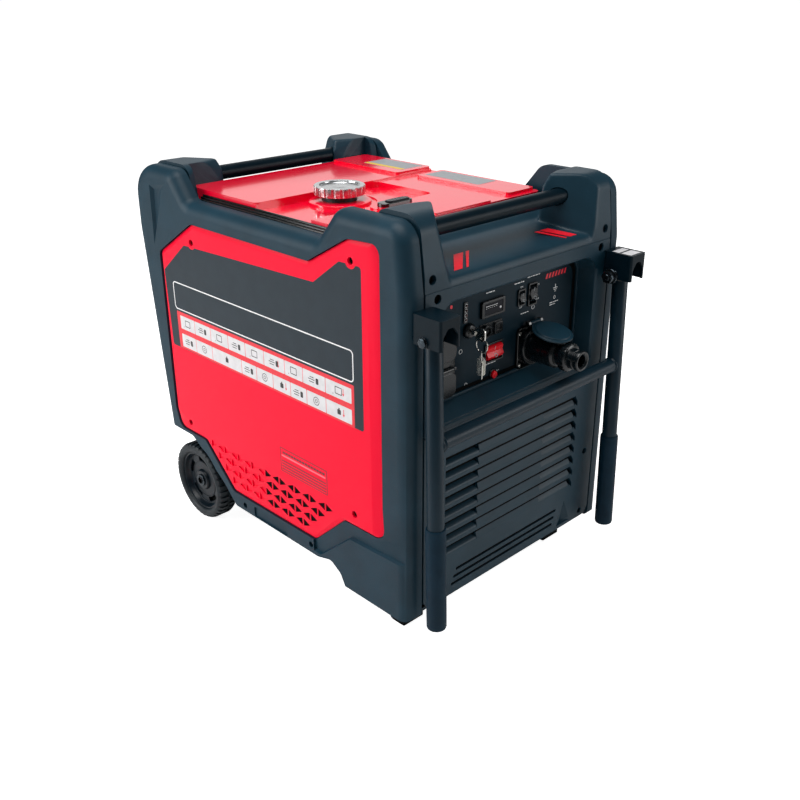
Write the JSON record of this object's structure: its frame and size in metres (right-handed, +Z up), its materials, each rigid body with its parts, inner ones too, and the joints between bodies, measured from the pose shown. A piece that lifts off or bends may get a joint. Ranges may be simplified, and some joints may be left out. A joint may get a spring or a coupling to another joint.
{
  "type": "portable generator",
  "caption": "Portable inverter generator in a moulded housing with rounded side frames, lift bars, a control recess, a fold-down pull handle and two wheels.",
  "frame": {"origin": "on the floor under the centre of the whole object's box", "axes": "+Z up, +Y from the control panel towards the wheels, +X to the right of someone who faces the control panel"},
  "size_m": [0.544, 0.842, 0.748],
  "materials": {
    "frame_plastic": "black moulded plastic with a fine grain",
    "cover_red": "bright red gloss moulding",
    "panel_plastic": "black moulded plastic",
    "rail_plastic": "dark satin plastic",
    "plate_plastic": "dark satin plastic",
    "switch_plastic": "black satin plastic",
    "switch_red": "red gloss plastic",
    "plug_plastic": "black satin plastic",
    "black_steel": "black powder coat",
    "bright_steel": "plated, bright",
    "tyre_rubber": "black rubber with moulded tread",
    "rim_plastic": "black satin plastic",
    "grip_rubber": "black rubber",
    "tank_plastic": "black moulded tank",
    "cast_alloy": "cast, rough",
    "winding_copper": "varnished windings"
  },
  "bodies": {
    "housing": {"side_frame_left": "frame_plastic", "side_frame_right": "frame_plastic", "front_top_cover": "frame_plastic", "rear_top_cover": "frame_plastic", "side_cover_left": "cover_red", "side_cover_right": "cover_red", "top_cover": "cover_red", "control_bezel": "panel_plastic", "front_grille": "panel_plastic", "rear_cover": "panel_plastic", "top_rail_left": "rail_plastic", "top_rail_right": "rail_plastic", "control_plate": "plate_plastic", "display": "plate_plastic", "indicator_strip": "plate_plastic", "key_switch": "plate_plastic", "fuel_gauge": "plate_plastic", "socket_pair": "switch_plastic", "duplex_outlet": "switch_plastic", "main_outlet": "switch_plastic", "plug_body": "plug_plastic", "plug_gland_nut": "plug_plastic", "front_lift_bar": "black_steel", "rear_lift_bar": "black_steel", "handle_bracket_left": "black_steel", "handle_bracket_right": "black_steel", "base_pan": "black_steel", "axle_bracket_left": "black_steel", "axle_bracket_right": "black_steel", "axle": "bright_steel", "pivot_bolt_left": "bright_steel", "pivot_bolt_right": "bright_steel", "foot_left": "grip_rubber", "foot_right": "grip_rubber", "fuel_tank": "tank_plastic", "engine_block": "cast_alloy", "inverter_module": "cast_alloy", "muffler": "cast_alloy", "alternator_stator": "winding_copper"},
    "pull_handle": {"arm_left": "black_steel", "arm_right": "black_steel", "crossbar": "black_steel", "grip_left": "grip_rubber", "grip_right": "grip_rubber"},
    "wheel_left": {"tyre_left": "tyre_rubber", "rim_left": "rim_plastic"},
    "wheel_right": {"tyre_right": "tyre_rubber", "rim_right": "rim_plastic"},
    "fuel_cap": {"fuel_cap": "bright_steel"},
    "ignition_key": {"ignition_key": "bright_steel", "key_ring": "bright_steel", "key_tag": "bright_steel"},
    "engine_rocker": {"engine_rocker": "switch_plastic"},
    "idle_rocker": {"idle_rocker": "switch_plastic"},
    "breaker_rocker": {"breaker_rocker": "switch_red"},
    "reset_button": {"reset_button": "switch_red"},
    "outlet_flap": {"outlet_flap": "switch_plastic"},
    "upper_lid": {"upper_outlet_lid": "switch_plastic"},
    "lower_lid": {"lower_outlet_lid": "switch_plastic"},
    "crankshaft": {"crankshaft": "bright_steel"}
  },
  "joints": [
    {"name": "handle_swing", "type": "hinge", "parent": "housing", "child": "pull_handle", "pos_m": [0, -0.366, 0.573], "axis": [-1, 0, 0], "range_deg": [0, 88]},
    {"name": "left_wheel_spin", "type": "hinge", "parent": "housing", "child": "wheel_left", "pos_m": [-0.249, 0.292, 0.084], "axis": [1, 0, 0], "continuous": true},
    {"name": "right_wheel_spin", "type": "hinge", "parent": "housing", "child": "wheel_right", "pos_m": [0.249, 0.292, 0.084], "axis": [1, 0, 0], "continuous": true},
    {"name": "fuel_cap_turn", "type": "hinge", "parent": "housing", "child": "fuel_cap", "pos_m": [-0.075, 0.032, 0.71], "axis": [0, 0, 1], "range_deg": [0, 90]},
    {"name": "key_turn", "type": "hinge", "parent": "housing", "child": "ignition_key", "pos_m": [-0.098, -0.32, 0.5345], "axis": [0, 1, 0], "range_deg": [0, 60]},
    {"name": "engine_switch", "type": "hinge", "parent": "housing", "child": "engine_rocker", "pos_m": [0.0345, -0.303, 0.56], "axis": [1, 0, 0], "range_deg": [0, 20]},
    {"name": "idle_switch", "type": "hinge", "parent": "housing", "child": "idle_rocker", "pos_m": [0.064, -0.2975, 0.56], "axis": [1, 0, 0], "range_deg": [0, 20]},
    {"name": "breaker_switch", "type": "hinge", "parent": "housing", "child": "breaker_rocker", "pos_m": [-0.0335, -0.3005, 0.4805], "axis": [1, 0, 0], "range_deg": [0, 20]},
    {"name": "reset_press", "type": "slide", "parent": "housing", "child": "reset_button", "axis": [0, 1, 0], "range_m": [0, 0.0025], "stiffness_N_per_m": 300},
    {"name": "flap_lift", "type": "hinge", "parent": "housing", "child": "outlet_flap", "pos_m": [0.064, -0.3156, 0.511], "axis": [-1, 0, 0], "range_deg": [0, 70]},
    {"name": "upper_lid_lift", "type": "hinge", "parent": "housing", "child": "upper_lid", "pos_m": [-0.158, -0.3146, 0.545], "axis": [-1, 0, 0], "range_deg": [0, 90]},
    {"name": "lower_lid_lift", "type": "hinge", "parent": "housing", "child": "lower_lid", "pos_m": [-0.158, -0.3146, 0.482], "axis": [-1, 0, 0], "range_deg": [0, 90]},
    {"name": "crankshaft_spin", "type": "hinge", "parent": "housing", "child": "crankshaft", "pos_m": [0, -0.1, 0.225], "axis": [0, 1, 0], "continuous": true}
  ]
}
